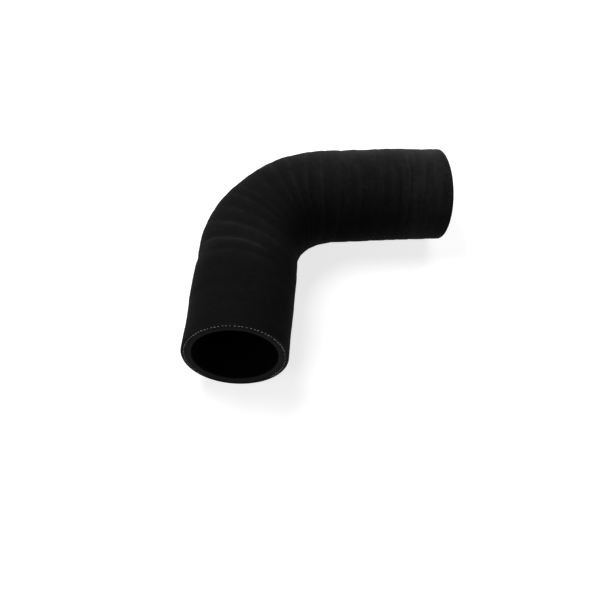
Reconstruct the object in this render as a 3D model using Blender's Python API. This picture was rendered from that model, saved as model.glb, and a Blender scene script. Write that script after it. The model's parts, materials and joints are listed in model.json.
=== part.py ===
"""A moulded coolant hose: a thick rubber tube with one bend, open at both ends.

The cover carries the marks of the tape that the hose was cured in: low laps that wind round it in a
helix and lean forward on the outside of the bend. Both ends are cut square, and the cut shows the
edge of the yarn ply that is bonded into the wall.

The hose lies on its side with +Z up. The near leg runs along +Y, the bend turns towards +X, and the
origin is at the middle of the underside of its bounding box.
"""

import math

import bmesh
import bpy
from mathutils import Matrix, Vector

# Driving dimensions, in metres
BORE_DIAMETER = 0.0508
WALL = 0.0058
NEAR_LEG = 0.126  # from the near face to the corner where the two straight axes cross
FAR_LEG = 0.128  # from that corner to the far face
BEND_RADIUS = 0.067  # of the axis
BEND_DEGREES = 77

# The ply of yarn inside the wall
COVER_OVER_YARN = 0.0013
YARN_DIAMETER = 0.0007
YARN_PROUD = 0.00015  # how far the cut yarn stands out of the end faces

# The marks of the curing tape
LAP_PITCH = 0.0115
LAP_STEP = 0.0003  # from the low edge of a lap to its high edge
LAP_LEAN = 0.010  # how far a lap runs ahead on the outside of the bend
LEAN_FADE = 0.020  # length of each leg over which the lean dies away
BARE_LENGTH = 0.012  # of the near leg, where the tape left no laps
LAP_FADE = 0.045  # length over which the laps then reach their full height

# How finely the faceted solid is divided
SIDES = 48
LAP_ROWS = (0.0, 0.45, 0.9)  # places of the rows in a lap: low edge, middle and high edge
BEND_SEGMENTS = 16
YARN_SIDES = 12
WELD_DISTANCE = 1e-6
SHARP_DEGREES = 40

# What follows from them
BORE_RADIUS = BORE_DIAMETER / 2
OUTER_RADIUS = BORE_RADIUS + WALL
YARN_RING_RADIUS = OUTER_RADIUS - COVER_OVER_YARN - YARN_DIAMETER / 2
BEND_ANGLE = math.radians(BEND_DEGREES)
TANGENT_LENGTH = BEND_RADIUS * math.tan(BEND_ANGLE / 2)
BEND_START = NEAR_LEG - TANGENT_LENGTH
BEND_END = BEND_START + BEND_RADIUS * BEND_ANGLE
LENGTH = BEND_END + FAR_LEG - TANGENT_LENGTH

RUBBER_BLACK = (0.011, 0.0095, 0.0098, 1.0)
YARN_WHITE = (0.36, 0.34, 0.31, 1.0)


def clear_scene():
    for obj in list(bpy.data.objects):
        bpy.data.objects.remove(obj, do_unlink=True)


def make_collection(name):
    collection = bpy.data.collections.new(name)
    bpy.context.scene.collection.children.link(collection)
    return collection


def make_material(name, colour, roughness):
    material = bpy.data.materials.new(name)
    material.use_nodes = True
    shader = material.node_tree.nodes["Principled BSDF"]
    shader.inputs["Base Color"].default_value = colour
    shader.inputs["Roughness"].default_value = roughness
    shader.inputs["Metallic"].default_value = 0.0
    return material


def ease(value):
    """A smooth step from 0 to 1 while the value goes from 0 to 1."""
    value = min(max(value, 0.0), 1.0)
    return value * value * (3 - 2 * value)


def axis_at(distance):
    """The axis point and its direction, this far along the hose from the near face.

    Past either end the axis runs straight on. The corner where the two straight axes cross is at zero.
    """
    turned = min(max((distance - BEND_START) / BEND_RADIUS, 0.0), BEND_ANGLE)
    direction = Vector((math.sin(turned), math.cos(turned), 0))
    across = BEND_RADIUS * (1 - math.cos(turned))
    along = BEND_RADIUS * math.sin(turned) - TANGENT_LENGTH
    on_bend = Vector((across, along, 0))
    straight_on = distance - BEND_START - BEND_RADIUS * turned
    return on_bend + straight_on * direction, direction


def lap_lean(distance):
    """How far a lap runs ahead on the outside of the bend: all of it in the bend, and none in the legs."""
    entering = ease((distance - BEND_START) / LEAN_FADE + 1)
    leaving = ease((BEND_END - distance) / LEAN_FADE + 1)
    return LAP_LEAN * entering * leaving


def lap_height(distance, place):
    """Height of the cover over its mean radius: a lap climbs slowly to its high edge and then drops."""
    climb = place / LAP_ROWS[-1] - 0.5
    return LAP_STEP * climb * ease((distance - BARE_LENGTH) / LAP_FADE)


def cover_point(turns, place, angle):
    """Point of the cover after this many whole turns of the tape, at this place in the lap.

    The angle is round the axis, from the top of the hose towards the outside of the bend.
    """
    wound = (turns + place + angle / math.tau) * LAP_PITCH
    distance = wound + lap_lean(wound) * math.sin(angle)
    centre, direction = axis_at(distance)
    up = Vector((0, 0, 1))
    outside = up.cross(direction)
    radius = OUTER_RADIUS + lap_height(distance, place)
    return centre + radius * (math.cos(angle) * up + math.sin(angle) * outside)


def wound_cover():
    """The cover as a helical strip of faces that follows the laps, too long for the hose at both ends."""
    bm = bmesh.new()
    spare_turns = math.ceil(LAP_LEAN / LAP_PITCH) + 2
    first_turn = -spare_turns
    last_turn = math.ceil(LENGTH / LAP_PITCH) + spare_turns
    rows = [
        [bm.verts.new(cover_point(turn, place, math.tau * side / SIDES)) for side in range(SIDES)]
        for turn in range(first_turn, last_turn)
        for place in LAP_ROWS
    ]
    for number in range(len(rows) - len(LAP_ROWS) - 1):
        for side in range(SIDES):
            last_side = side == SIDES - 1
            low = rows[number]
            high = rows[number + 1]
            next_low = rows[number + len(LAP_ROWS)] if last_side else low
            next_high = rows[number + len(LAP_ROWS) + 1] if last_side else high
            following = (side + 1) % SIDES
            bm.faces.new((low[side], next_low[following], next_high[following], high[side]))
    return bm


def cut_square(bm, distance, outwards):
    """Cuts the strip off square to the axis, and drops what lies past the cut, outwards."""
    centre, direction = axis_at(distance)
    bmesh.ops.bisect_plane(
        bm,
        geom=bm.verts[:] + bm.edges[:] + bm.faces[:],
        dist=WELD_DISTANCE,
        plane_co=centre,
        plane_no=outwards * direction,
        clear_outer=True,
    )


def make_cover_solid(name, material, collection):
    """The hose before its bore is cut: the wound cover, cut square and closed at both ends."""
    bm = wound_cover()
    cut_square(bm, 0.0, -1)
    cut_square(bm, LENGTH, 1)
    loose = [vert for vert in bm.verts if not vert.link_faces]
    bmesh.ops.delete(bm, geom=loose, context="VERTS")
    bmesh.ops.holes_fill(bm, edges=[edge for edge in bm.edges if edge.is_boundary], sides=0)
    bmesh.ops.recalc_face_normals(bm, faces=bm.faces[:])
    mesh = bpy.data.meshes.new(name)
    bm.to_mesh(mesh)
    bm.free()
    mesh.materials.append(material)
    obj = bpy.data.objects.new(name, mesh)
    collection.objects.link(obj)
    return obj


def make_helper(obj, collection):
    """Turns an object into one that only cuts or joins, and shows as a wire."""
    for holder in list(obj.users_collection):
        holder.objects.unlink(obj)
    collection.objects.link(obj)
    obj.hide_render = True
    obj.display_type = "WIRE"
    return obj


def make_bore(name, collection):
    """The bore as a round bar along the axis, from outside one end face to outside the other."""
    overrun = BORE_RADIUS
    bend_step = (BEND_END - BEND_START) / BEND_SEGMENTS
    distances = [-overrun]
    distances += [BEND_START + bend_step * number for number in range(BEND_SEGMENTS + 1)]
    distances += [LENGTH + overrun]
    curve = bpy.data.curves.new(name, "CURVE")
    curve.dimensions = "3D"
    curve.bevel_depth = BORE_RADIUS
    curve.bevel_resolution = SIDES // 2 - 2
    curve.use_fill_caps = True
    spline = curve.splines.new("POLY")
    spline.points.add(len(distances) - 1)
    for point, distance in zip(spline.points, distances):
        point.co = (*axis_at(distance)[0], 1)
    source = bpy.data.objects.new(name + "_path", curve)
    collection.objects.link(source)
    graph = bpy.context.evaluated_depsgraph_get()
    mesh = bpy.data.meshes.new_from_object(source.evaluated_get(graph))
    bm = bmesh.new()
    bm.from_mesh(mesh)
    bmesh.ops.remove_doubles(bm, verts=bm.verts[:], dist=WELD_DISTANCE)
    bmesh.ops.recalc_face_normals(bm, faces=bm.faces[:])
    bm.to_mesh(mesh)
    bm.free()
    bar = bpy.data.objects.new(name, mesh)
    bar.matrix_world = source.matrix_world
    bpy.data.objects.remove(source)
    return make_helper(bar, collection)


def make_yarn_edge(name, distance, outwards, material, collection):
    """The cut edge of the yarn ply: a ring of yarn, sunk in the end face so that only its crest shows."""
    centre, direction = axis_at(distance)
    sunk = YARN_DIAMETER / 2 - YARN_PROUD
    bpy.ops.mesh.primitive_torus_add(
        major_segments=SIDES,
        minor_segments=YARN_SIDES,
        major_radius=YARN_RING_RADIUS,
        minor_radius=YARN_DIAMETER / 2,
    )
    ring = bpy.context.object
    ring.name = name
    ring.data.materials.append(material)
    facing = direction.to_track_quat("Z", "Y").to_matrix().to_4x4()
    ring.matrix_world = Matrix.Translation(centre - sunk * outwards * direction) @ facing
    return make_helper(ring, collection)


def add_boolean(obj, helper, operation):
    boolean = obj.modifiers.new(helper.name, "BOOLEAN")
    boolean.operation = operation
    boolean.solver = "EXACT"
    boolean.material_mode = "TRANSFER"
    boolean.object = helper


def stand_on_origin(objects, part):
    """Moves everything so that the origin is at the middle of the underside of the part's bounding box."""
    corners = [part.matrix_world @ Vector(corner) for corner in part.bound_box]
    low = [min(corner[axis] for corner in corners) for axis in range(3)]
    high = [max(corner[axis] for corner in corners) for axis in range(3)]
    shift = Vector((-(low[0] + high[0]) / 2, -(low[1] + high[1]) / 2, -low[2]))
    for obj in objects:
        obj.matrix_world = Matrix.Translation(shift) @ obj.matrix_world


def main():
    clear_scene()
    parts = make_collection("coolant_hose")
    helpers = make_collection("cutters")
    rubber = make_material("black_rubber", RUBBER_BLACK, 0.6)
    yarn = make_material("ply_yarn", YARN_WHITE, 0.9)

    hose = make_cover_solid("hose", rubber, parts)
    bore = make_bore("bore", helpers)
    near_edge = make_yarn_edge("near_yarn_edge", 0.0, -1, yarn, helpers)
    far_edge = make_yarn_edge("far_yarn_edge", LENGTH, 1, yarn, helpers)
    bpy.context.view_layer.update()
    stand_on_origin([hose, bore, near_edge, far_edge], hose)

    add_boolean(hose, near_edge, "UNION")
    add_boolean(hose, far_edge, "UNION")
    add_boolean(hose, bore, "DIFFERENCE")
    hose.data.shade_smooth()
    hose.data.set_sharp_from_angle(angle=math.radians(SHARP_DEGREES))


main()
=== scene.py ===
"""A moulded coolant hose with one bend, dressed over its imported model.

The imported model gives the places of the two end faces. What shows is made here: the wall of the hose as
one closed surface with the print of its curing tape, and the cut yarn ends in both end faces.
"""

import json
import logging
import math
from dataclasses import dataclass
from enum import Enum, IntEnum

import bpy
import numpy as np
from mathutils import Matrix, Vector


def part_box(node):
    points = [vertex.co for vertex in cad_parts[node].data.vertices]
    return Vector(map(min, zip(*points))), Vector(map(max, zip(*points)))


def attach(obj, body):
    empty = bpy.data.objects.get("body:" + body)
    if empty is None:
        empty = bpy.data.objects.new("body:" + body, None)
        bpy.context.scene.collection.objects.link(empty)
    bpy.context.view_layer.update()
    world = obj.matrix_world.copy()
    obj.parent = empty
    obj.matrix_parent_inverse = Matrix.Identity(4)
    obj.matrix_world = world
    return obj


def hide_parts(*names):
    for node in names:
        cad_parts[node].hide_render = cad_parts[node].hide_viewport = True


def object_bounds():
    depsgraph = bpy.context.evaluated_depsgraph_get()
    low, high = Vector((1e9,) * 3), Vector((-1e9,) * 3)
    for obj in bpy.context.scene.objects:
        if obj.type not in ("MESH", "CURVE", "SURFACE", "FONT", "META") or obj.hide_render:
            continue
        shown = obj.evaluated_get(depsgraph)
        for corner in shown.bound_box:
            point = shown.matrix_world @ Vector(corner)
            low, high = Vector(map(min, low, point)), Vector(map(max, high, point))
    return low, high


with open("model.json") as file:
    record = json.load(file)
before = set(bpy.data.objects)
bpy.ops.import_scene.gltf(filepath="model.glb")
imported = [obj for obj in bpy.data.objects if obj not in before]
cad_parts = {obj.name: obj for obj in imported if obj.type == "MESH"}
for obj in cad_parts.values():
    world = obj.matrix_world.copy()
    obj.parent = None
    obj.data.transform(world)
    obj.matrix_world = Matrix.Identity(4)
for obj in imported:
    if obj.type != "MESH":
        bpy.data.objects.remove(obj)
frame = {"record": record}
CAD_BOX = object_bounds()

Array = np.ndarray
Colour = tuple[float, float, float]
Socket = bpy.types.NodeSocket
LOG = logging.getLogger("coolant_hose")
MM = 0.001
PLY_RADIUS = 29.55 * MM  # of the ring of yarn in the wall


class Region(IntEnum):
    """The three surfaces of the wall, which are also its material slots."""

    COVER = 0
    CUT = 1
    BORE = 2


class End(Enum):
    """The two ends of the hose, by how far along it they are and which way they face."""

    NEAR = (0.0, -1.0)
    FAR = (1.0, 1.0)

    @property
    def share(self) -> float:
        """The end's place along the hose, as a share of its length."""
        return self.value[0]

    @property
    def outwards(self) -> float:
        """The sign that turns the axis direction out of the hose."""
        return self.value[1]


def ease(value: Array) -> Array:
    """A smooth step: 3v² - 2v³ with v held between 0 and 1."""
    held = np.clip(value, 0.0, 1.0)
    return held * held * (3.0 - 2.0 * held)


def waves(first: Array, second: Array, count: int, reach: float, seed: int) -> Array:
    """Slow uneven waves over two parameters.

    The sum of sin(a·first + n·second + phase) over some waves, with n a whole number, so that it closes on
    itself when second goes once round.

    Args:
        first: Place along the hose, in metres.
        second: Angle round the hose, in radians.
        count: Number of waves.
        reach: Shortest wavelength along the hose, in metres.
        seed: Start of the random choice of waves.

    Returns:
        Values of about -1 to 1.
    """
    chance = np.random.default_rng(seed)
    lengths = chance.uniform(1.0, 4.0, count) * reach
    rounds = chance.integers(-3, 4, count)
    phases = chance.uniform(0.0, math.tau, count)
    total = np.zeros(np.broadcast(first, second).shape)
    for length, around, phase in zip(lengths, rounds, phases):
        total += np.sin(math.tau * first / length + around * second + phase)
    return total / math.sqrt(2.0 * count)


def mesh_from_arrays(name: str, points: Array, faces: list[Array]) -> bpy.types.Mesh:
    """Puts arrays of points and faces into a smooth mesh.

    Args:
        name: Name of the mesh.
        points: Points as rows of x, y and z.
        faces: Arrays of vertex numbers, one row to a face. Each array has faces of one size.

    Returns:
        The mesh.
    """
    mesh = bpy.data.meshes.new(name)
    corners = np.concatenate([array.ravel() for array in faces]).astype(np.int32)
    sizes = np.concatenate([np.full(len(array), array.shape[1]) for array in faces])
    starts = (np.cumsum(sizes) - sizes).astype(np.int32)
    mesh.vertices.add(len(points))
    mesh.vertices.foreach_set("co", points.astype(np.float32).ravel())
    mesh.loops.add(len(corners))
    mesh.loops.foreach_set("vertex_index", corners)
    mesh.polygons.add(len(starts))
    mesh.polygons.foreach_set("loop_start", starts)
    mesh.update(calc_edges=True)
    mesh.shade_smooth()
    return mesh


def store_value(mesh: bpy.types.Mesh, name: str, values: Array) -> None:
    """Keeps one number for each vertex as a named attribute."""
    mesh.attributes.new(name, "FLOAT", "POINT")
    mesh.attributes[name].data.foreach_set("value", values.astype(np.float32).ravel())


def show(mesh: bpy.types.Mesh, nodes: tuple[str, ...] = ()) -> bpy.types.Object:
    """Makes a mesh a piece of the hose.

    Args:
        mesh: The finished mesh, in its place.
        nodes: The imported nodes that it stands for.

    Returns:
        The piece, which rides on the root body.
    """
    piece = bpy.data.objects.new(mesh.name, mesh)
    bpy.context.scene.collection.objects.link(piece)
    if nodes:
        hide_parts(*nodes)
    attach(piece, "root")
    mesh.calc_loop_triangles()
    LOG.info("%s: %d triangles", mesh.name, len(mesh.loop_triangles))
    return piece


@dataclass(frozen=True)
class RoundTable:
    """A number that changes round the hose, taken straight from one angle to the next."""

    degrees: tuple[float, ...]  # -180 to 180 from the top, with the outside of the bend at 90
    numbers: tuple[float, ...]

    def at(self, angle: Array) -> Array:
        """The number at each of these angles, which are in radians and may be on any turn."""
        turned = np.degrees(np.mod(angle + math.pi, math.tau) - math.pi)
        return np.interp(turned, self.degrees, self.numbers)


@dataclass(frozen=True)
class HoseAxis:
    """The middle line of the hose: a straight leg, an arc of one radius and a second straight leg."""

    near_centre: Array
    near_direction: Array
    far_centre: Array
    far_direction: Array
    bend_radius: float = 67.0 * MM
    near_skew: float = 0.55 * MM  # how far the near cut is ahead on the outside, because the saw ran askew
    skew_fade: float = 25.0 * MM

    @classmethod
    def from_frame(cls, record: dict) -> "HoseAxis":
        """Reads the axis from the mounts on the two end faces.

        Args:
            record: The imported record, whose mounts stand on the end faces.

        Returns:
            The axis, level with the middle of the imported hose.
        """
        mounts = {mount["name"]: mount for mount in record["mounts"]}
        low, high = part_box("hose")
        near = np.array(mounts["near_end_face"]["pos_m"], float)
        far = np.array(mounts["far_end_face"]["pos_m"], float)
        near[2] = far[2] = (low.z + high.z) / 2
        into = -np.array(mounts["near_end_face"]["axis"], float)
        out_of = np.array(mounts["far_end_face"]["axis"], float)
        return cls(near, into, far, out_of / np.linalg.norm(out_of))

    @property
    def legs(self) -> tuple[float, float]:
        """Lengths of both straight axes up to the corner where they cross."""
        sides = np.stack([self.near_direction[:2], self.far_direction[:2]], axis=1)
        near_leg, far_leg = np.linalg.solve(sides, (self.far_centre - self.near_centre)[:2])
        return float(near_leg), float(far_leg)

    @property
    def bend_angle(self) -> float:
        """The angle that the hose turns through."""
        return math.acos(float(self.near_direction @ self.far_direction))

    @property
    def bend_start(self) -> float:
        """Distance from the near face to the start of the arc."""
        return self.legs[0] - self.bend_radius * math.tan(self.bend_angle / 2)

    @property
    def length(self) -> float:
        """Length of the axis from face to face."""
        straight = sum(self.legs) - 2 * self.bend_radius * math.tan(self.bend_angle / 2)
        return straight + self.bend_radius * self.bend_angle

    def skewed(self, distance: Array, angle: Array) -> Array:
        """The distance with the near cut's skew: less by skew·sin(angle), and fading along the first leg."""
        return distance - self.near_skew * np.sin(angle) * (1.0 - ease(distance / self.skew_fade))

    def at(self, distance: Array) -> tuple[Array, Array, Array]:
        """Points of the axis, with the directions along it and to the outside of the bend.

        On the arc the direction is turned by (distance - start) / radius. The point is the arc's start,
        plus the radius times sin(turned) forwards and 1 - cos(turned) to the inside of the bend. Past the
        arc it runs straight on.

        Args:
            distance: Distances from the near face.

        Returns:
            Points, directions along the hose and directions to the outside, each with x, y and z last.
        """
        turned = np.clip((distance - self.bend_start) / self.bend_radius, 0.0, self.bend_angle)
        forward = self.near_direction
        inside = np.array([forward[1], -forward[0], 0.0])
        sine, cosine = np.sin(turned)[..., None], np.cos(turned)[..., None]
        along = cosine * forward + sine * inside
        arc = self.bend_radius * (sine * forward + (1.0 - cosine) * inside)
        run = (distance - self.bend_start - self.bend_radius * turned)[..., None]
        points = self.near_centre + self.bend_start * forward + arc + run * along
        outside = np.stack([-along[..., 1], along[..., 0], np.zeros_like(turned)], axis=-1)
        return points, along, outside


@dataclass(frozen=True)
class Girth:
    """Where the moulded hose is a little thicker, thinner or out of round. Lengths are in millimetres."""

    places: tuple[float, ...] = (
        0, 8, 17, 28, 36, 50, 58, 66, 74, 82, 95, 104, 112,
        122, 134, 146, 160, 168, 178, 186, 194, 204, 213, 224, 238,
    )
    outside: tuple[float, ...] = (
        0.15, 0.15, -0.05, 0, 0.5, 0.7, 0.45, -0.3, 0.1, 0.4, 0.35, 0, -0.25,
        0.2, 0.6, 0.15, -0.1, -0.25, 0.2, 0, 0.35, 0.55, 0.4, -0.1, 0,
    )
    inside: tuple[float, ...] = (
        0, 0.05, 0.1, 0.25, 0.35, 0.45, 0.45, 0.3, 0.1, 0, 0, 0, 0.1,
        0, 0, 0.1, 0, 0, 0.1, 0, 0, 0, 0, 0, 0,
    )
    blend_start: float = -0.3  # sine of the angle where the inside's numbers start to give way
    blend_reach: float = 0.8
    near_oval: float = 0.32  # how far the near end is out of round
    oval_degrees: float = -32.0  # where it is widest
    oval_fade: float = 60.0

    def oval(self, place: Array, angle: Array) -> Array:
        """What to add to every radius near the first end: oval·cos(2(angle - widest)), fading inwards."""
        turned = angle - math.radians(self.oval_degrees)
        return self.near_oval * MM * np.cos(2.0 * turned) * (1.0 - ease(place / (self.oval_fade * MM)))

    def swell(self, place: Array, angle: Array) -> Array:
        """What to add to the radius.

        Each side's numbers are joined by smooth steps. The sides blend as ease((sin(angle) - start) / reach).

        Args:
            place: Distances along the hose, in metres.
            angle: Angles round it.

        Returns:
            Heights in metres.
        """
        places = np.array(self.places, float) * MM
        before = np.clip(np.searchsorted(places, place, side="right") - 1, 0, len(places) - 2)
        part = ease((place - places[before]) / (places[before + 1] - places[before]))
        sides = [np.array(side, float) for side in (self.inside, self.outside)]
        inner, outer = (side[before] + part * (side[before + 1] - side[before]) for side in sides)
        share = ease((np.sin(angle) - self.blend_start) / self.blend_reach)
        return MM * (inner + (outer - inner) * share)


@dataclass(frozen=True)
class TapeLap:
    """One edge that the curing tape left in the cover. Lengths are in millimetres."""

    place: float  # where it crosses the top of the hose, from the near face
    lean: float  # how far it runs ahead on the outside of the bend
    height: float  # of the step
    streak: float  # how light the thin line along the edge is, partly bloom and partly painted sheen: 0 is none, and 1 is the lightest
    band: float  # how light the broad band before the edge is, as painted light on the lap's slope, with about 1 as the lightest
    inner: float = -1.5  # the sine of the angle where both die away, towards the shaded inside of the bend


@dataclass(frozen=True)
class TapePrint:
    """The print of the tape: laps that wind round the hose and lean forwards on the outside of the bend."""

    laps: tuple[TapeLap, ...] = (
        TapeLap(-19, 0, 0.00, 0.00, 0.0), TapeLap(-8, 0, 0.00, 0.00, 0.0), TapeLap(5, 0, 0.02, 0.00, 0.0),
        TapeLap(17, 0, 0.03, 0.00, 0.1), TapeLap(29.5, 0, 0.05, 0.00, 0.1),
        TapeLap(41.5, 0, 0.08, 0.00, 0.1, -1.0), TapeLap(53.5, 5, 0.14, 0.36, 0.6, -0.5),
        TapeLap(62, 8.5, 0.17, 1.00, 1.1, -0.6), TapeLap(73.5, 8.5, 0.18, 0.48, 0.8, -0.80),
        TapeLap(83, 8, 0.16, 0.05, 0.6, -0.6), TapeLap(92.5, 7.5, 0.20, 0.45, 0.3, -0.8),
        TapeLap(99, 8, 0.18, 0.25, 0.15, -0.9), TapeLap(109, 9, 0.20, 0.12, 0.15, -1.0),
        TapeLap(119.5, 11, 0.26, 0.50, 0.3, -1.1), TapeLap(129, 13, 0.24, 0.25, 0.7, -1.3),
        TapeLap(139.5, 15, 0.26, 0.35, 0.6, -1.4), TapeLap(151.5, 8, 0.26, 0.30, 0.9),
        TapeLap(165, 2, 0.24, 0.25, 0.3), TapeLap(178, 0, 0.24, 0.00, 0.2),
        TapeLap(193, 0, 0.26, 0.10, 0.6), TapeLap(202, 0, 0.24, 0.00, 0.3),
        TapeLap(211, 3, 0.26, 0.20, 0.9), TapeLap(222.5, 3, 0.28, 0.25, 1.0),
        TapeLap(233, 0, 0.24, 0.05, 0.6), TapeLap(244, 0, 0.24, 0.00, 0.3),
        TapeLap(256, 0, 0.24, 0.00, 0.3),
    )
    drop: float = 0.17  # share of a lap over which the cover falls at its edge
    slowing: float = 0.45  # share of a lap over which its climb slows down
    level: float = 0.6  # share of a lap's height that is below the mean radius
    mark_fade: float = 0.5  # how much of the sine the marks take to die away
    # How pale the second leg is painted: partly bloom, and partly painted light on its top, outside and far
    # end.
    wear_and_light_share: float = 0.54
    leg_shares: tuple[float, float, float] = (0.4, 0.64, 1.2)  # all round, on the top and on the outside
    end_shares: tuple[float, float] = (1.0, 0.7)  # all round and on the inside
    leg_wear_and_light: tuple[float, float] = (112.0, 60.0)  # millimetres along the hose: its start and its reach
    end_wear_and_light: tuple[float, float] = (185.0, 45.0)
    cloth_start: float = 60.0  # millimetres along the hose
    cloth_reach: float = 100.0
    least_cloth: float = 0.25

    def column(self, name: str) -> Array:
        """One of the laps' numbers for all laps, in order."""
        return np.array([getattr(lap, name) for lap in self.laps], float)

    def along(self, place: Array, name: str) -> Array:
        """One of the laps' numbers at any place, taken straight from lap to lap."""
        return np.interp(place, self.column("place") * MM, self.column(name))

    def distance(self, place: Array, angle: Array) -> Array:
        """Where the line that crosses the top at this place is at this angle: place + lean·sin(angle)."""
        return place + self.along(place, "lean") * MM * np.sin(angle)

    def turns(self, place: Array, angle: Array) -> Array:
        """How many laps lie before this point. Going once round the hose takes one away, as on a screw."""
        numbers = np.arange(len(self.laps), dtype=float)
        return np.interp(place, self.column("place") * MM, numbers) - angle / math.tau

    def marks(self, place: Array, angle: Array, name: str) -> Array:
        """How light the painted streaks or bands are here: they die away towards the shaded inside of the
        bend.
        """
        return self.along(place, name) * ease((np.sin(angle) - self.along(place, "inner")) / self.mark_fade)

    def wear_and_painted_light(self, place: Array, angle: Array) -> Array:
        """How pale the cover is painted, partly as bloom and partly as painted light: 0 is none, and about 2
        is the palest.

        It grows along the second leg, most on the top, as ease((sin(angle) + 0.95) / 0.9), and on the
        outside, as ease((sin(angle) - 0.2) / 0.6). Towards the far end it grows all round, most on the
        inside, as ease(0.2 - sin(angle)). Its growth on the top, on the outside and towards the far end is
        painted light, which stands in for brighter light on the second leg.

        Args:
            place: Distances along the hose, in metres.
            angle: Angles round it.

        Returns:
            The wear at each point.
        """
        sine = np.sin(angle)
        even, top, outer = self.leg_shares
        leg = even + top * ease((sine + 0.95) / 0.9) + outer * ease((sine - 0.2) / 0.6)
        even, inner = self.end_shares
        end = even + inner * ease(0.2 - sine)
        return sum(
            self.wear_and_light_share * around * ease((place / MM - start) / reach)
            for around, (start, reach) in ((leg, self.leg_wear_and_light), (end, self.end_wear_and_light))
        )

    def cloth(self, place: Array) -> Array:
        """How much of the cloth shows: a quarter on the first leg, growing to all of it past the bend."""
        grown = ease((place / MM - self.cloth_start) / self.cloth_reach)
        return self.least_cloth + (1.0 - self.least_cloth) * grown

    def relief(self, place: Array, angle: Array) -> Array:
        """Height of the cover over its mean radius.

        Within a lap it climbs by 1 - e^(-t / slowing), and falls back over the last part of the lap.

        Args:
            place: Distances along the hose, in metres.
            angle: Angles round it.

        Returns:
            Heights in metres.
        """
        part = np.mod(self.turns(place, angle), 1.0)
        climb = (1.0 - np.exp(-part / self.slowing)) / (1.0 - math.exp(-1.0 / self.slowing))
        fall = 1.0 - ease((part - 1.0 + self.drop) / self.drop)
        return self.along(place, "height") * MM * (climb * fall - self.level)


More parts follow.
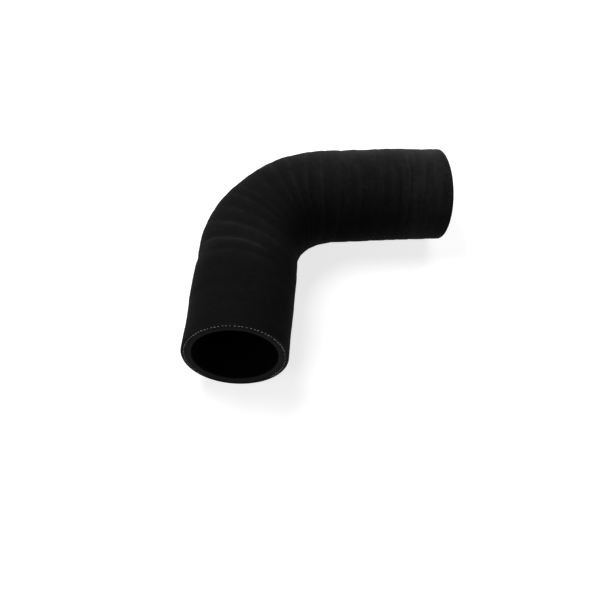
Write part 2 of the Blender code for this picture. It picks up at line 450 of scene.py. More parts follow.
@dataclass
class HoseWall:
    """The wall of the hose: cover, cut faces and bore as one closed surface."""

    axis: HoseAxis
    tape: TapePrint
    bore_radius: float = 25.4 * MM
    thickness: float = 5.8 * MM
    ply_radius: float = PLY_RADIUS
    ply_width: float = 0.8 * MM
    ply_depth: float = 0.12 * MM  # of the groove that the cut ply leaves
    groove: tuple[tuple[float, float], ...] = (  # half widths from its middle, and share of its depth
        (1.6, 0.0), (1.0, 0.4), (0.5, 1.0), (-0.5, 1.0), (-1.0, 0.4), (-1.6, 0.0),
    )
    rim_round: float = 0.35 * MM
    bore_round: float = 0.7 * MM
    girth: Girth = Girth()
    unevenness: float = 0.12 * MM  # height of the slow waves in the cover
    painted_light_round_cut: RoundTable = RoundTable(  # painted light and shade round the cut: palest on the inside of the bend, darkest on the upper outside
        (-180, -135, -80, -45, 0, 60, 105, 150, 180), (0.1, 1, 1.6, 0.6, 0.3, -0.1, 0.9, 0.5, 0.1)
    )
    pale_edge: float = 1.5 * MM  # width of the paler edge beside the bore
    edge_fade: float = 1.1 * MM
    dark_radius: float = 26.8 * MM  # where the darker outer part of the cut starts
    dark_fade: float = 1.8 * MM
    dark_share: float = 0.6
    map_unit: float = 11.0 * MM  # what one unit of the wrap map stands for off the cover
    columns: int = 128
    cover_rows: int = 590
    bore_rows: int = 84
    round_rows: int = 4
    face_rows: int = 9

    @property
    def outer_radius(self) -> float:
        """Mean radius of the cover."""
        return self.bore_radius + self.thickness

    def face_profile(self) -> tuple[Array, Array]:
        """The cut face from the rim to the bore: radii, and how deep the face lies there.

        Both rounds are quarter circles: the radius goes in by r(1 - cos a) and the depth goes from r to 0
        as r(1 - sin a).

        Returns:
            Radii and depths, from the rim inwards.
        """
        quarter = np.linspace(0.0, math.pi / 2, self.round_rows + 1)
        rim_radii = self.outer_radius - self.rim_round * (1.0 - np.cos(quarter))
        rim_depths = self.rim_round * (1.0 - np.sin(quarter))
        halves, deep = np.array(self.groove).T
        ply = self.ply_radius + halves * (self.ply_width / 2)
        ply_depths = self.ply_depth * deep
        plain = np.linspace(ply[-1], self.bore_radius + self.bore_round, self.face_rows)[1:-1]
        bore_radii = self.bore_radius + self.bore_round * (1.0 - np.sin(quarter))
        bore_depths = self.bore_round * (1.0 - np.cos(quarter))
        radii = np.concatenate([rim_radii, ply, plain, bore_radii])
        depths = np.concatenate([rim_depths, ply_depths, np.zeros_like(plain), bore_depths])
        return radii, depths

    def profile(self) -> tuple[Array, Array, Array, Array]:
        """The wall's section as one closed line, cover first, then far face, bore and near face.

        Returns:
            Distance along the hose, radius, share of the cover's relief and region of each row. A row's
            region is that of the faces between it and the next.
        """
        length = self.axis.length
        radii, depths = self.face_profile()
        shares = ease((radii - self.ply_radius) / (self.outer_radius - self.ply_radius))
        cover = np.linspace(self.rim_round, length - self.rim_round, self.cover_rows)[1:-1]
        bore = np.linspace(length - self.bore_round, self.bore_round, self.bore_rows)[1:-1]
        distances = np.concatenate([cover, length - depths, bore, depths[::-1]])
        all_radii = np.concatenate([
            np.full(len(cover), self.outer_radius), radii, np.full(len(bore), self.bore_radius), radii[::-1],
        ])
        all_shares = np.concatenate([np.ones(len(cover)), shares, np.zeros(len(bore)), shares[::-1]])
        regions = np.concatenate([
            np.full(len(cover), Region.COVER), np.full(len(radii) - 1, Region.CUT),
            np.full(len(bore) + 1, Region.BORE), np.full(len(radii) - 1, Region.CUT), [Region.COVER],
        ])
        return distances, all_radii, all_shares, regions

    def grid(self, distances: Array) -> tuple[Array, Array]:
        """Every point's distance and angle, with a row to a distance and a column to an angle."""
        angles = np.linspace(-math.pi, math.pi, self.columns, endpoint=False)
        return tuple(np.meshgrid(distances, angles, indexing="ij"))

    def points(self) -> Array:
        """The points of the surface, row by row.

        A point is the axis point at its distance, plus its radius times cos(angle) up and sin(angle) to the
        outside of the bend. The cover's rows follow the tape's lean, and its radius has the tape's relief,
        the girth's swell and slow waves.

        Returns:
            An array of rows, columns and x, y and z.
        """
        distances, radii, shares, regions = self.profile()
        place, angle = self.grid(distances)
        leaning = (regions == Region.COVER)[:, None]
        where = np.where(leaning, self.tape.distance(place, angle), place)
        slow = waves(place, angle, count=9, reach=30.0 * MM, seed=5)
        swell = self.girth.swell(where, angle) + self.unevenness * slow
        radius = radii[:, None] + self.girth.oval(where, angle)
        radius += shares[:, None] * (self.tape.relief(place, angle) + swell)
        centres, _, outside = self.axis.at(self.axis.skewed(where, angle))
        up = np.array([0.0, 0.0, 1.0])
        across = np.cos(angle)[..., None] * up + np.sin(angle)[..., None] * outside
        return centres + radius[..., None] * across

    def cut_tone_and_painted_light(self, radii: Array, angle: Array) -> Array:
        """How pale the cut face is.

        The painted light and shade round the cut, plus ease((bore + edge - radius) / fade) beside the
        bore, less the dark share times ease((radius - dark radius) / fade) in the outer part.

        Args:
            radii: The radius of each row.
            angle: The angle of each point.

        Returns:
            The tone at each point.
        """
        inner_part = ease((self.bore_radius + self.pale_edge - radii) / self.edge_fade)[:, None]
        outer_part = ease((radii - self.dark_radius) / self.dark_fade)[:, None]
        return self.painted_light_round_cut.at(angle) + inner_part - self.dark_share * outer_part

    def wrap_map(self, mesh: bpy.types.Mesh) -> None:
        """Lays a UV map that follows the tape: laps one way and turns round the hose the other.

        On the cover the first number is the tape's count of laps. On the cut faces it comes from the
        radius, and in the bore from the distance, both in units of 11 mm. The sum of both numbers runs on
        without a break where the map's ends meet, on the underside.

        Args:
            mesh: The wall's mesh, with its faces in the order of the rows.
        """
        distances, radii, _, regions = self.profile()
        rows = len(distances)
        angles = np.linspace(-math.pi, math.pi, self.columns + 1)
        following = (np.arange(rows) + 1) % rows
        low, high = (
            np.where(
                (regions == Region.COVER)[:, None],
                self.tape.turns(distances[order][:, None], angles),
                np.where(regions == Region.CUT, radii[order], distances[order])[:, None] / self.map_unit
                - angles / math.tau,
            )
            for order in (np.arange(rows), following)
        )
        turn = np.broadcast_to(angles / math.tau, low.shape)
        left, right = slice(0, -1), slice(1, None)
        corners = [(low, left), (high, left), (high, right), (low, right)]
        laps = np.stack([values[:, part] for values, part in corners], axis=-1)
        round_it = np.stack([turn[:, part] for _, part in corners], axis=-1)
        layer = mesh.uv_layers.new(name="wrap")
        layer.uv.foreach_set("vector", np.stack([laps, round_it], axis=-1).astype(np.float32).ravel())

    def build(self, finishes: dict[Region, bpy.types.Material]) -> bpy.types.Object:
        """Makes the wall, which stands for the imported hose.

        Args:
            finishes: The material of each region.

        Returns:
            The piece.
        """
        points = self.points()
        rows, columns = points.shape[:2]
        row, column = np.meshgrid(np.arange(rows), np.arange(columns), indexing="ij")
        next_row, next_column = (row + 1) % rows, (column + 1) % columns
        faces = np.stack([
            row * columns + column, next_row * columns + column,
            next_row * columns + next_column, row * columns + next_column,
        ], axis=-1).reshape(-1, 4)
        mesh = mesh_from_arrays("hose_wall", points.reshape(-1, 3), [faces])
        distances, radii, shares, regions = self.profile()
        mesh.polygons.foreach_set("material_index", np.repeat(regions, columns).astype(np.int32))
        self.wrap_map(mesh)
        place, angle = self.grid(distances)
        for name, values in (
            # partly bloom and partly painted sheen along each lap's edge
            ("lap_bloom_and_painted_sheen", self.tape.marks(place, angle, "streak")),
            # painted light on the slope of each lap
            ("painted_lap_light", self.tape.marks(place, angle, "band")),
            # painted light on the second leg, mixed with some bloom
            ("tape_wear_and_painted_light", self.tape.wear_and_painted_light(place, angle)),
            ("tape_cloth", self.tape.cloth(place)),
        ):
            store_value(mesh, name, values * shares[:, None])
        # the cut's tone, with painted light and shade round the ring
        store_value(mesh, "cut_tone_and_painted_light", self.cut_tone_and_painted_light(radii, angle))
        for region in Region:
            mesh.materials.append(finishes[region])
        return show(mesh, ("hose",))


@dataclass
class YarnEnds:
    """The cut ends of the yarn ply, which stand in a ring in an end face."""

    axis: HoseAxis
    end: End
    seed: int
    girth: Girth = Girth()
    count: int = 84
    length: float = 1.2 * MM  # round the ring
    width: float = 0.7 * MM
    depth: float = 0.5 * MM
    proud: float = 0.12 * MM
    sides: int = 10
    power: float = 0.7  # of the cosine and the sine in a yarn end's outline
    rings: tuple[tuple[float, float], ...] = ((0.9, -0.5), (1.0, 0.1), (0.78, 0.38))  # scale and height
    place_range: float = 0.12  # how far an end may stray round the ring, as a share of the step
    size_range: tuple[float, float] = (0.82, 1.15)  # shares of the mean size
    radius_range: float = 0.08  # in millimetres, either way
    lift_range: tuple[float, float] = (0.5, 1.4)  # shares of how far they stand proud
    darkening: RoundTable = RoundTable(  # how far the yarn is darkened: none at the top, some at the sides, most below
        (-180, -132, -124, -106, -99, -75, -62, 50, 70, 110, 140, 152, 180),
        (1, 1, 0.25, 0.25, 0.62, 0.62, 0, 0, 0.42, 0.45, 0.62, 1, 1),
    )
    wander: RoundTable = RoundTable(  # millimetres that the ply strays outwards from its ring
        (-180, -105, -85, -60, -35, -15, 15, 35, 60, 180),
        (0, 0, -0.35, -0.1, 0.1, 0.45, 0.5, 0.2, 0, 0),
    )

    def pad(self) -> tuple[Array, list[Array]]:
        """One yarn end, one unit long, wide and deep: a rounded pad with a crowned top.

        Its rings are rounded oblongs, where x and y are the cosine and the sine to a power below 1.

        Returns:
            Its points and its faces.
        """
        angle = np.linspace(0.0, math.tau, self.sides, endpoint=False)
        circle = np.stack([np.cos(angle), np.sin(angle)], axis=-1)
        oblong = np.sign(circle) * np.abs(circle) ** self.power / 2
        rings = [
            np.column_stack([oblong * scale, np.full(self.sides, height)]) for scale, height in self.rings
        ]
        points = np.concatenate([*rings, [[0.0, 0.0, 0.5]], [[0.0, 0.0, -0.5]]])
        here = np.arange(self.sides)
        following = (here + 1) % self.sides
        last = (len(self.rings) - 1) * self.sides
        walls = [
            np.stack([here, following, following + self.sides, here + self.sides], axis=-1) + ring
            for ring in range(0, last, self.sides)
        ]
        tip, root = np.full(self.sides, last + self.sides), np.full(self.sides, last + self.sides + 1)
        crown = np.stack([here + last, following + last, tip], axis=-1)
        base = np.stack([following, here, root], axis=-1)
        return points, [np.concatenate(walls), np.concatenate([crown, base])]

    def build(self, finish: bpy.types.Material) -> bpy.types.Object:
        """Sets the pads round the ring, each a little different.

        A pad's own x runs round the ring, its y along the radius and its z out of the face.

        Args:
            finish: The material of the yarn.

        Returns:
            The piece.
        """
        chance = np.random.default_rng(self.seed)
        points, faces = self.pad()
        step = math.tau / self.count
        stray = chance.uniform(-self.place_range, self.place_range, self.count)
        angle = (np.arange(self.count) + stray) * step
        distance = self.axis.skewed(np.full(self.count, self.end.share * self.axis.length), angle)
        centre, along, outside = self.axis.at(distance)
        up = np.array([0.0, 0.0, 1.0])
        radial = np.cos(angle)[:, None] * up + np.sin(angle)[:, None] * outside
        out = np.broadcast_to(self.end.outwards * along, radial.shape)
        sideways = np.cross(radial, out)
        mean_size = np.array([self.length, self.width, self.depth])
        sizes = mean_size * chance.uniform(*self.size_range, (self.count, 3))
        radius = PLY_RADIUS + self.girth.oval(distance, angle) + MM * self.wander.at(angle)
        radius += chance.uniform(-self.radius_range, self.radius_range, self.count) * MM
        lift = self.proud * chance.uniform(*self.lift_range, self.count) - sizes[:, 2] / 2
        places = centre + radius[:, None] * radial + lift[:, None] * out
        scaled = points[None] * sizes[:, None]
        basis = np.stack([sideways, radial, out], axis=1)
        placed = places[:, None] + scaled @ basis
        shift = np.arange(self.count)[:, None, None] * len(points)
        all_faces = [(array[None] + shift).reshape(-1, array.shape[1]) for array in faces]
        name = self.end.name.lower() + "_yarn_ends"
        mesh = mesh_from_arrays(name, placed.reshape(-1, 3), all_faces)
        store_value(mesh, "yarn_tone", np.repeat(chance.uniform(0.0, 1.0, self.count), len(points)))
        store_value(mesh, "yarn_darkening", np.repeat(self.darkening.at(angle), len(points)))
        mesh.materials.append(finish)
        return show(mesh)


class Tree:
    """Short ways to add nodes to a node tree and link them."""

    def __init__(self, tree: bpy.types.NodeTree) -> None:
        """Works on this tree."""
        self.tree = tree

    def add(self, kind: str, settings: dict | None = None, **inputs: object) -> bpy.types.Node:
        """Adds a node.

        Args:
            kind: The node's type, without ShaderNode in front.
            settings: The node's own properties.
            inputs: A value or a socket for each named input, with _ for a space.

        Returns:
            The node.
        """
        node = self.tree.nodes.new("ShaderNode" + kind)
        for name, value in (settings or {}).items():
            setattr(node, name, value)
        for name, value in inputs.items():
            self.feed(node.inputs[name.replace("_", " ")], value)
        return node

    def feed(self, socket: Socket, value: object) -> None:
        """Links a socket to an input, or sets the input to a plain value.

        Args:
            socket: The input.
            value: The socket that feeds it, or its plain value.
        """
        if isinstance(value, bpy.types.NodeSocket):
            self.tree.links.new(value, socket)
        else:
            socket.default_value = value

    def maths(self, operation: str, *values: object, clamp: bool = False) -> Socket:
        """Adds a Math node.

        Args:
            operation: The node's operation.
            values: A value or a socket for each input that the operation has.
            clamp: Whether the result is held between 0 and 1.

        Returns:
            The result.
        """
        node = self.add("Math", {"operation": operation, "use_clamp": clamp})
        for socket, value in zip(node.inputs, values):
            self.feed(socket, value)
        return node.outputs[0]

    def product(self, first: object, *others: object) -> Socket:
        """Multiplies values, one after the other.

        Args:
            first: The first value or socket.
            others: The values or sockets that it is multiplied by.

        Returns:
            The product.
        """
        for other in others:
            first = self.maths("MULTIPLY", first, other)
        return first

    def between(self, value: Socket, low: float, high: float, start: float = 0.0, end: float = 1.0) -> Socket:
        """Takes a value from one range to another with a smooth step.

        Args:
            value: The value.
            low: Where the step begins.
            high: Where it ends.
            start: The result up to the low value.
            end: The result from the high value on.

        Returns:
            The result.
        """
        node = self.add("MapRange", {"interpolation_type": "SMOOTHSTEP"}, Value=value)
        for name, number in (("From Min", low), ("From Max", high), ("To Min", start), ("To Max", end)):
            node.inputs[name].default_value = number
        return node.outputs[0]

    def blend(self, share: object, first: object, second: object) -> Socket:
        """Mixes two colours.

        Args:
            share: The second colour's share.
            first: The first colour.
            second: The second colour.

        Returns:
            The mixed colour.
        """
        node = self.add("Mix", {"data_type": "RGBA"})
        self.feed(node.inputs[0], share)
        self.feed(node.inputs[6], first)
        self.feed(node.inputs[7], second)
        return node.outputs[2]

    def seen(self) -> Socket:
        """Tells the rays of the camera, of reflections and of glass from the rest.

        Returns:
            1 for them and 0 for the rest.
        """
        path = self.add("LightPath")
        seen = self.maths("MAXIMUM", path.outputs["Is Camera Ray"], path.outputs["Is Glossy Ray"])
        return self.maths("MAXIMUM", seen, path.outputs["Is Transmission Ray"])

    def group(self, name: str, **inputs: object) -> bpy.types.Node:
        """Places one of the shared node groups.

        Args:
            name: The group's name.
            inputs: A value or a socket for each named input.

        Returns:
            The group's node.
        """
        node = self.tree.nodes.new("ShaderNodeGroup")
        node.node_tree = bpy.data.node_groups[name]
        for key, value in inputs.items():
            self.feed(node.inputs[key.replace("_", " ")], value)
        return node


def new_group(
    name: str, inputs: dict[str, tuple[str, object]], outputs: dict[str, str]
) -> tuple[Tree, dict[str, Socket], bpy.types.bpy_prop_collection]:
    """Starts a shader node group.

    Args:
        name: Name of the group.
        inputs: Kind and first value of each input.
        outputs: Kind of each output.

    Returns:
        The tree, its inputs by name and the output node's sockets.
    """
    tree = bpy.data.node_groups.new(name, "ShaderNodeTree")
    for key, (kind, value) in inputs.items():
        socket = tree.interface.new_socket(key, in_out="INPUT", socket_type="NodeSocket" + kind)
        if value is not None:
            socket.default_value = value
    for key, kind in outputs.items():
        tree.interface.new_socket(key, in_out="OUTPUT", socket_type="NodeSocket" + kind)
    source = tree.nodes.new("NodeGroupInput")
    target = tree.nodes.new("NodeGroupOutput")
    return Tree(tree), {key: source.outputs[key] for key in inputs}, target.inputs


class SurfaceEffects:
    """The node groups that the finishes share."""

    @staticmethod
    def grain() -> None:
        """Fine grain of a matt surface: two sizes of noise, as a height and a mask."""
        tree, given, out = new_group(
            "grain",
            {"Vector": ("Vector", None), "Scale": ("Float", 1500.0), "Coarse": ("Float", 0.4)},
            {"Height": "Float", "Mask": "Float"},
        )
        fine = tree.add("TexNoise", Vector=given["Vector"], Scale=given["Scale"], Detail=3.0, Roughness=0.6)
        wide = tree.product(given["Scale"], 0.22)
        coarse = tree.add("TexNoise", Vector=given["Vector"], Scale=wide, Detail=2.0)
        share = tree.product(coarse.outputs["Fac"], given["Coarse"])
        tree.feed(out["Height"], tree.maths("ADD", fine.outputs["Fac"], share))
        tree.feed(out["Mask"], tree.between(fine.outputs["Fac"], 0.35, 0.65))

    @staticmethod
    def patches() -> None:
        """Uneven tone: soft patches, from about a millimetre to a few centimetres wide."""
        tree, given, out = new_group(
            "patches",
            {"Vector": ("Vector", None), "Scale": ("Float", 60.0), "Contrast": ("Float", 1.0)},
            {"Mask": "Float"},
        )
        noise = tree.add(
            "TexNoise", Vector=given["Vector"], Scale=given["Scale"],
            Detail=5.0, Roughness=0.62, Distortion=0.6,
        )
        centred = tree.maths("SUBTRACT", noise.outputs["Fac"], 0.5)
        scaled = tree.maths("MULTIPLY_ADD", centred, given["Contrast"], 0.5, clamp=True)
        tree.feed(out["Mask"], tree.between(scaled, 0.2, 0.8))

    @staticmethod
    def specks() -> None:
        """Thin scatter of pale dust and scuffs, as a mask."""
        tree, given, out = new_group(
            "specks",
            {"Vector": ("Vector", None), "Scale": ("Float", 700.0), "Amount": ("Float", 0.3)},
            {"Mask": "Float"},
        )
        noise = tree.add("TexNoise", Vector=given["Vector"], Scale=given["Scale"], Detail=2.0, Roughness=0.5)
        wide = tree.product(given["Scale"], 0.06)
        where = tree.add("TexNoise", Vector=given["Vector"], Scale=wide, Detail=2.0)
        dots = tree.between(noise.outputs["Fac"], 0.62, 0.72)
        zones = tree.between(where.outputs["Fac"], 0.45, 0.65)
        both = tree.product(dots, zones)
        tree.feed(out["Mask"], tree.product(both, given["Amount"]))

    @staticmethod
    def tape_print_and_painted_light() -> None:
        """Print of the curing tape and painted light along its laps, worked out from laps and turns.

        The streak, partly bloom and partly painted sheen, is a hump near the end of each lap. The band,
        painted light on the slope of each lap, is a broader one. Both are broken up by noise.
        Ribs are sines of the laps, and threads are the product of a sine of the laps and one of the turns.
        """
        tree, given, out = new_group(
            "tape_print_and_painted_light",
            {
                "Wrap": ("Vector", None), "Vector": ("Vector", None), "Ribs": ("Float", 8.0),
                "Threads": ("Float", 218.0), "Cloth": ("Float", 1.0),
            },
            {"Streak": "Float", "Band": "Float", "Height": "Float"},
        )
        parts = tree.add("SeparateXYZ", Vector=given["Wrap"])
        sway = tree.add("TexNoise", Vector=given["Vector"], Scale=60.0, Detail=3.0)
        laps = tree.maths("MULTIPLY_ADD", sway.outputs["Fac"], 0.16, parts.outputs[0])
        place = tree.maths("FRACT", laps)
        broken = tree.add("TexNoise", Vector=given["Vector"], Scale=95.0, Detail=4.0, Roughness=0.6)
        strength = tree.between(broken.outputs["Fac"], 0.36, 0.62, 0.15, 1.0)
        rise = tree.between(place, 0.60, 0.88)
        fall = tree.between(place, 0.88, 1.0, 1.0, 0.1)
        tree.feed(out["Streak"], tree.product(rise, fall, strength))
        climb = tree.between(place, 0.15, 0.80, 0.4, 1.0)
        broad = tree.product(climb, tree.between(place, 0.88, 1.0, 1.0, 0.4))
        tree.feed(out["Band"], tree.product(broad, tree.maths("MULTIPLY_ADD", strength, 0.5, 0.5)))
        turn = tree.product(laps, math.tau)
        rib = tree.maths("SINE", tree.product(turn, given["Ribs"]))
        ribs = tree.product(rib, strength, 0.5)
        around = tree.product(parts.outputs[1], math.tau, given["Threads"])
        pick = tree.maths("SINE", tree.product(turn, 12.0))
        threads = tree.product(tree.maths("SINE", around), pick, 0.25)
        tree.feed(out["Height"], tree.product(tree.maths("ADD", ribs, threads), given["Cloth"]))

    @staticmethod
    def drawn_lines() -> None:
        """Uneven lines round the hose, such as pressed threads or the marks of a knife.

        Noise over the sum of the wrap map's numbers, and over the cosine and sine of the turn at a small
        scale, so that the lines are long and close on themselves.
        """
        tree, given, out = new_group(
            "drawn_lines",
            {"Wrap": ("Vector", None), "Scale": ("Float", 12.0), "Stretch": ("Float", 0.05)},
            {"Height": "Float", "Mask": "Float"},
        )
        parts = tree.add("SeparateXYZ", Vector=given["Wrap"])
        turn = tree.product(parts.outputs[1], math.tau)
        place = tree.add(
            "CombineXYZ",
            X=tree.maths("ADD", parts.outputs[0], parts.outputs[1]),
            Y=tree.product(tree.maths("COSINE", turn), given["Stretch"]),
            Z=tree.product(tree.maths("SINE", turn), given["Stretch"]),
        )
        lines = tree.add("TexNoise", Vector=place.outputs[0], Scale=given["Scale"], Detail=3.0, Roughness=0.5)
        tree.feed(out["Height"], lines.outputs["Fac"])
        tree.feed(out["Mask"], tree.between(lines.outputs["Fac"], 0.36, 0.64))

    @classmethod
    def build(cls) -> None:
        """Makes all the groups."""
        for maker in (cls.grain, cls.patches, cls.specks, cls.tape_print_and_painted_light, cls.drawn_lines):
            maker()


def opaque(colour: Colour) -> tuple[float, float, float, float]:
    """The colour with full alpha."""
    return (*colour, 1.0)


class MaterialTree(Tree):
    """A material on a Principled shader, and the tree that feeds it."""

    def __init__(self, name: str, specular: float) -> None:
        """Starts the material.

        Args:
            name: Its name.
            specular: Its specular level.
        """
        self.material = bpy.data.materials.new(name)
        self.material.use_nodes = True
        super().__init__(self.material.node_tree)
        self.shader = self.tree.nodes["Principled BSDF"]
        self.shader.inputs["Specular IOR Level"].default_value = specular
        self.place = self.add("TexCoord").outputs["Object"]

    def wrap(self) -> Socket:
        """The wrap map, which follows the tape."""
        return self.add("UVMap", {"uv_map": "wrap"}).outputs[0]

    def value(self, name: str) -> Socket:
        """One of the mesh's named numbers."""
        return self.add("Attribute", {"attribute_name": name}).outputs["Fac"]

    def patches(self, scale: float, contrast: float) -> Socket:
        """The mask of uneven tone, at this scale."""
        return self.group("patches", Vector=self.place, Scale=scale, Contrast=contrast).outputs["Mask"]

    def grain(self, scale: float) -> bpy.types.Node:
        """The fine grain, at this scale."""
        return self.group("grain", Vector=self.place, Scale=scale)

    def finish(
        self, colour: Socket, roughness: Socket, heights: list[tuple[Socket, float]]
    ) -> bpy.types.Material:
        """Feeds the shader its colour, its roughness and a chain of bumps.

        Args:
            colour: Base colour.
            roughness: Roughness.
            heights: Height and depth in metres of each bump, the broadest first.

        Returns:
            The material.
        """
        self.feed(self.shader.inputs["Base Color"], colour)
        self.feed(self.shader.inputs["Roughness"], roughness)
        normal = None
        for height, depth in heights:
            bump = self.add("Bump", Height=height, Distance=depth, Strength=1.0)
            if normal is not None:
                self.feed(bump.inputs["Normal"], normal)
            normal = bump.outputs["Normal"]
        if normal is not None:
            self.feed(self.shader.inputs["Normal"], normal)
        return self.material


@dataclass(frozen=True)
class CoverRubber:
    """The cover: matt black rubber with the cloth's print, and pale bloom mixed with painted light and sheen.
    """

    dark: Colour = (0.0025, 0.0024, 0.0024)
    plain: Colour = (0.0047, 0.0046, 0.0046)
    # pale colour of the bloom, and of the painted light and sheen along the laps and on the second leg
    bloom_and_painted_light: Colour = (0.0168, 0.0157, 0.0161)
    patch_share: float = 0.5
    blotch_share: float = 0.5
    streak_share: float = 0.6
    painted_lap_light_share: float = 0.25
    line_share: float = 0.5
    dab_share: float = 0.4
    fade: float = 0.5  # what the blotches leave of the lines and dabs in the bloom and painted light where they are weakest
    fade_gain: float = 0.6
    even_share: float = 0.3  # of the bloom and painted light, which has no pattern
    roughness: float = 0.85
    specular: float = 0.02

    def build(self) -> bpy.types.Material:
        """Makes the material.

        Returns:
            The material.
        """
        work = MaterialTree("cover_rubber", self.specular)
        cloth, wrap = work.value("tape_cloth"), work.wrap()
        tape = work.group("tape_print_and_painted_light", Wrap=wrap, Vector=work.place, Cloth=cloth)
        lines = work.group("drawn_lines", Wrap=wrap, Scale=2.6, Stretch=0.7)
        patches = work.patches(scale=70.0, contrast=1.4)
        blotches = work.patches(scale=260.0, contrast=1.7)
        dabs = work.patches(scale=800.0, contrast=1.6)
        grain = work.grain(scale=1600.0)
        specks = work.group("specks", Vector=work.place, Scale=650.0, Amount=0.25)
        tone = work.maths("MULTIPLY_ADD", blotches, self.blotch_share, work.product(patches, self.patch_share))
        colour = work.blend(tone, opaque(self.dark), opaque(self.plain))
        # The streak is partly bloom and partly painted sheen along each lap's edge.
        streak = work.product(tape.outputs["Streak"], work.value("lap_bloom_and_painted_sheen"), self.streak_share)
        # The band is painted light on the slope of each lap, lightest just before its edge.
        band = work.product(tape.outputs["Band"], work.value("painted_lap_light"), self.painted_lap_light_share)
        scuffs = work.product(dabs, self.dab_share)
        mottled = work.maths("MULTIPLY_ADD", lines.outputs["Mask"], self.line_share, scuffs)
        mottled = work.product(mottled, work.maths("MULTIPLY_ADD", blotches, self.fade_gain, self.fade))
        # Painted light on the second leg's top, outside and far end, mixed with some bloom.
        wear_and_painted_light = work.product(work.maths("ADD", mottled, self.even_share), work.value("tape_wear_and_painted_light"))
        marks = work.maths("ADD", streak, band)
        share = work.maths("ADD", marks, work.maths("ADD", wear_and_painted_light, specks.outputs["Mask"]))
        # Mixes in the pale colour of painted sheen and light, bloom and dust.
        colour = work.blend(work.maths("MINIMUM", share, 1.0), colour, opaque(self.bloom_and_painted_light))
        uneven = work.maths("MULTIPLY_ADD", tone, 0.12, self.roughness - 0.06)
        return work.finish(colour, uneven, [
            (patches, 0.15 * MM), (blotches, 0.06 * MM), (tape.outputs["Height"], 0.10 * MM),
            (grain.outputs["Height"], 0.05 * MM),
        ])


@dataclass(frozen=True)
class CutRubber:
    """The cut faces: sliced rubber, a little greyer, with the knife's rings and painted light and shade."""

    dark: Colour = (0.0070, 0.0062, 0.0064)
    pale: Colour = (0.0260, 0.0230, 0.0236)
    even_share: float = 0.02
    knife_share: float = 0.12
    patch_share: float = 0.12
    tone_share: float = 0.3
    roughness: float = 0.64
    specular: float = 0.02

    def build(self) -> bpy.types.Material:
        """Makes the material.

        Returns:
            The material.
        """
        work = MaterialTree("cut_rubber", self.specular)
        knife = work.group("drawn_lines", Wrap=work.wrap(), Scale=60.0, Stretch=0.02)
        patches = work.patches(scale=160.0, contrast=1.2)
        grain = work.grain(scale=1800.0)
        share = work.maths("MULTIPLY_ADD", knife.outputs["Mask"], self.knife_share, self.even_share)
        share = work.maths("MULTIPLY_ADD", patches, self.patch_share, share)
        # The cut's tone has painted light and shade round the ring.
        share = work.maths("MULTIPLY_ADD", work.value("cut_tone_and_painted_light"), self.tone_share, share, clamp=True)
        colour = work.blend(share, opaque(self.dark), opaque(self.pale))
        uneven = work.maths("MULTIPLY_ADD", knife.outputs["Mask"], 0.1, self.roughness - 0.05)
        return work.finish(colour, uneven, [
            (knife.outputs["Height"], 0.15 * MM), (grain.outputs["Height"], 0.05 * MM),
        ])


@dataclass(frozen=True)
class BoreRubber:
    """The bore: smooth rubber that was cured on a steel form, nearly black in its own shade."""

    dark: Colour = (0.0014, 0.0013, 0.0013)
    plain: Colour = (0.0024, 0.0022, 0.0022)
    dust: Colour = (0.006, 0.0055, 0.0055)
    roughness: float = 0.6
    specular: float = 0.02

    def build(self) -> bpy.types.Material:
        """Makes the material.

        Returns:
            The material.
        """
        work = MaterialTree("bore_rubber", self.specular)
        patches = work.patches(scale=50.0, contrast=1.3)
        grain = work.grain(scale=1400.0)
        specks = work.group("specks", Vector=work.place, Scale=500.0, Amount=0.2)
        colour = work.blend(patches, opaque(self.dark), opaque(self.plain))
        colour = work.blend(specks.outputs["Mask"], colour, opaque(self.dust))
        uneven = work.maths("MULTIPLY_ADD", patches, 0.15, self.roughness - 0.07)
        return work.finish(colour, uneven, [(patches, 0.1 * MM), (grain.outputs["Height"], 0.04 * MM)])


@dataclass(frozen=True)
class YarnFibre:
    """Off-white yarn, cut through: fibre ends, darkened towards rubber's colour in places round the ring."""

    pale: Colour = (0.60, 0.585, 0.56)
    soiled: Colour = (0.24, 0.23, 0.22)
    rubber: Colour = (0.0085, 0.0075, 0.0078)
    end_share: float = 0.35  # how much the yarn ends differ in tone
    patch_share: float = 0.45
    stain_share: float = 0.1
    roughness: float = 0.9
    specular: float = 0.02

    def build(self) -> bpy.types.Material:
        """Makes the material.

        Returns:
            The material.
        """
        work = MaterialTree("yarn_fibre", self.specular)
        tone = work.product(work.value("yarn_tone"), self.end_share)
        grain = work.grain(scale=7000.0)
        patches = work.patches(scale=900.0, contrast=1.6)
        share = work.maths("MULTIPLY_ADD", patches, self.patch_share, tone, clamp=True)
        colour = work.blend(share, opaque(self.pale), opaque(self.soiled))
        # Darkens the yarn towards the rubber's colour: none at the top, some at the sides, most at the bottom.
        darkening = work.maths("MULTIPLY_ADD", patches, self.stain_share, work.value("yarn_darkening"), clamp=True)
        colour = work.blend(darkening, colour, opaque(self.rubber))
        uneven = work.maths("MULTIPLY_ADD", grain.outputs["Mask"], 0.08, self.roughness - 0.08)
        return work.finish(colour, uneven, [(grain.outputs["Height"], 0.08 * MM)])


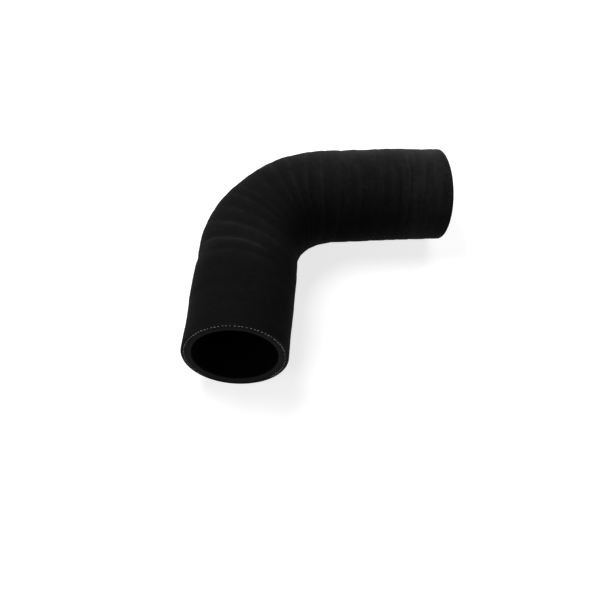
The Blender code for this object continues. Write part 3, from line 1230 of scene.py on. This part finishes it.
@dataclass(frozen=True)
class PaleFloor:
    """The floor: plain white card, lifted to full white where the camera or a reflection sees it."""

    colour: Colour = (0.5, 0.5, 0.5)
    grain_shade: float = 0.98
    lift: float = 0.78  # near the hose, so that its shadow stays
    shadow_reach: tuple[float, float] = (0.14, 0.45)  # metres over which the lift grows to full white

    def build(self) -> bpy.types.Material:
        """Makes the material, whose lift is an emission that shows only in what the camera sees.

        Returns:
            The material.
        """
        work = MaterialTree("pale_floor", 0.0)
        work.shader.inputs["Emission Color"].default_value = (1.0, 1.0, 1.0, 1.0)
        grain = work.grain(scale=900.0)
        shaded = tuple(self.grain_shade * part for part in self.colour)
        colour = work.blend(grain.outputs["Mask"], opaque(self.colour), opaque(shaded))
        rough = work.maths("MULTIPLY_ADD", grain.outputs["Mask"], 0.1, 0.9)
        reach = work.add("VectorMath", {"operation": "LENGTH"})
        work.feed(reach.inputs[0], work.place)
        lift = work.between(reach.outputs["Value"], *self.shadow_reach, self.lift, 1.0)
        work.feed(work.shader.inputs["Emission Strength"], work.product(work.seen(), lift))
        return work.finish(colour, rough, [])


@dataclass(frozen=True)
class SoftBox:
    """A soft square area lamp that faces the hose and that the camera doesn't see."""

    name: str
    place: tuple[float, float, float]  # in metres
    size: float
    power: float

    def build(self, target: Vector) -> bpy.types.Object:
        """Hangs the lamp in its place.

        Args:
            target: The point that it faces.

        Returns:
            The lamp.
        """
        data = bpy.data.lights.new(self.name, "AREA")
        data.shape = "SQUARE"
        data.size = self.size
        data.energy = self.power
        lamp = bpy.data.objects.new(self.name, data)
        lamp.location = self.place
        lamp.rotation_euler = (lamp.location - target).to_track_quat("Z", "Y").to_euler()
        lamp.visible_camera = False
        bpy.context.scene.collection.objects.link(lamp)
        return lamp


@dataclass(frozen=True)
class Studio:
    """Plain soft light on a plain pale floor."""

    floor_size: float = 40.0
    world_light: float = 0.01
    boxes: tuple[SoftBox, ...] = (
        SoftBox("top_box", (-0.25, 0.09, 0.45), 0.3, 2.75),
        SoftBox("back_box", (0.1, 0.38, 0.12), 0.3, 1.45),
        SoftBox("front_box", (-0.35, -0.4, 0.3), 0.3, 0.75),
    )

    def build(self, target: Vector) -> None:
        """Makes the floor, the lamps and the world.

        Args:
            target: The middle of the hose, which the lamps face.
        """
        half = self.floor_size / 2
        corners = np.array([[-half, -half, 0.0], [half, -half, 0.0], [half, half, 0.0], [-half, half, 0.0]])
        mesh = mesh_from_arrays("floor", corners, [np.array([[0, 1, 2, 3]])])
        mesh.materials.append(PaleFloor().build())
        floor = bpy.data.objects.new("floor", mesh)
        bpy.context.scene.collection.objects.link(floor)
        for box in self.boxes:
            box.build(target)
        bpy.context.scene.world = self.make_world()

    def make_world(self) -> bpy.types.World:
        """A dim even light that is plain white where the camera or a reflection sees it.

        Returns:
            The world.
        """
        world = bpy.data.worlds.new("studio")
        world.use_nodes = True
        work = Tree(world.node_tree)
        background = world.node_tree.nodes["Background"]
        background.inputs["Color"].default_value = (1.0, 1.0, 1.0, 1.0)
        strength = work.maths("MULTIPLY_ADD", work.seen(), 1.0 - self.world_light, self.world_light)
        work.feed(background.inputs["Strength"], strength)
        return world


@dataclass(frozen=True)
class PhotoCamera:
    """The camera at the photograph's angle: above the near end, and turned a little about its own axis."""

    target: tuple[float, float, float] = (-15.32 * MM, -46.39 * MM, 31.35 * MM)
    azimuth: float = 6.48  # of the line of sight, from +Y towards +X
    elevation: float = 52.74
    roll: float = -12.80
    distance: float = 483.6 * MM
    lens: float = 47.35  # in millimetres, as the sensor's width is
    sensor_width: float = 36.0
    clip_start: float = 0.01  # in metres

    def build(self) -> bpy.types.Object:
        """Places the camera and makes it the scene's.

        Returns:
            The camera.
        """
        turn, rise = math.radians(self.azimuth), math.radians(self.elevation)
        look = Vector((math.sin(turn) * math.cos(rise), math.cos(turn) * math.cos(rise), -math.sin(rise)))
        level = look.cross(Vector((0.0, 0.0, 1.0))).normalized()
        right = Matrix.Rotation(math.radians(self.roll), 3, look) @ level
        up = right.cross(look)
        data = bpy.data.cameras.new("photo_camera")
        data.lens = self.lens
        data.sensor_width = self.sensor_width
        data.clip_start = self.clip_start
        camera = bpy.data.objects.new("photo_camera", data)
        turned = Matrix((right, up, -look)).transposed().to_4x4()
        camera.matrix_world = Matrix.Translation(Vector(self.target) - self.distance * look) @ turned
        bpy.context.scene.collection.objects.link(camera)
        bpy.context.scene.camera = camera
        return camera


@dataclass
class CoolantHose:
    """The whole hose: its wall and the yarn ends in both faces."""

    axis: HoseAxis
    tape: TapePrint = TapePrint()

    def build(self) -> None:
        """Makes the pieces and dresses them."""
        rubber = {
            Region.COVER: CoverRubber().build(),
            Region.CUT: CutRubber().build(),
            Region.BORE: BoreRubber().build(),
        }
        HoseWall(self.axis, self.tape).build(rubber)
        yarn = YarnFibre().build()
        YarnEnds(self.axis, End.NEAR, seed=3).build(yarn)
        YarnEnds(self.axis, End.FAR, seed=4).build(yarn)


def main() -> None:
    """Builds the camera, the hose and the studio, in that order."""
    logging.basicConfig(level=logging.INFO, format="%(message)s")
    bpy.context.scene.view_settings.view_transform = "Standard"
    PhotoCamera().build()
    SurfaceEffects.build()
    axis = HoseAxis.from_frame(frame["record"])
    bend = math.degrees(axis.bend_angle)
    LOG.info("hose axis: legs %s m, bend %.1f degrees, length %.4f m", axis.legs, bend, axis.length)
    CoolantHose(axis).build()
    low, high = CAD_BOX
    Studio().build((low + high) / 2)


if __name__ == "__main__":
    main()
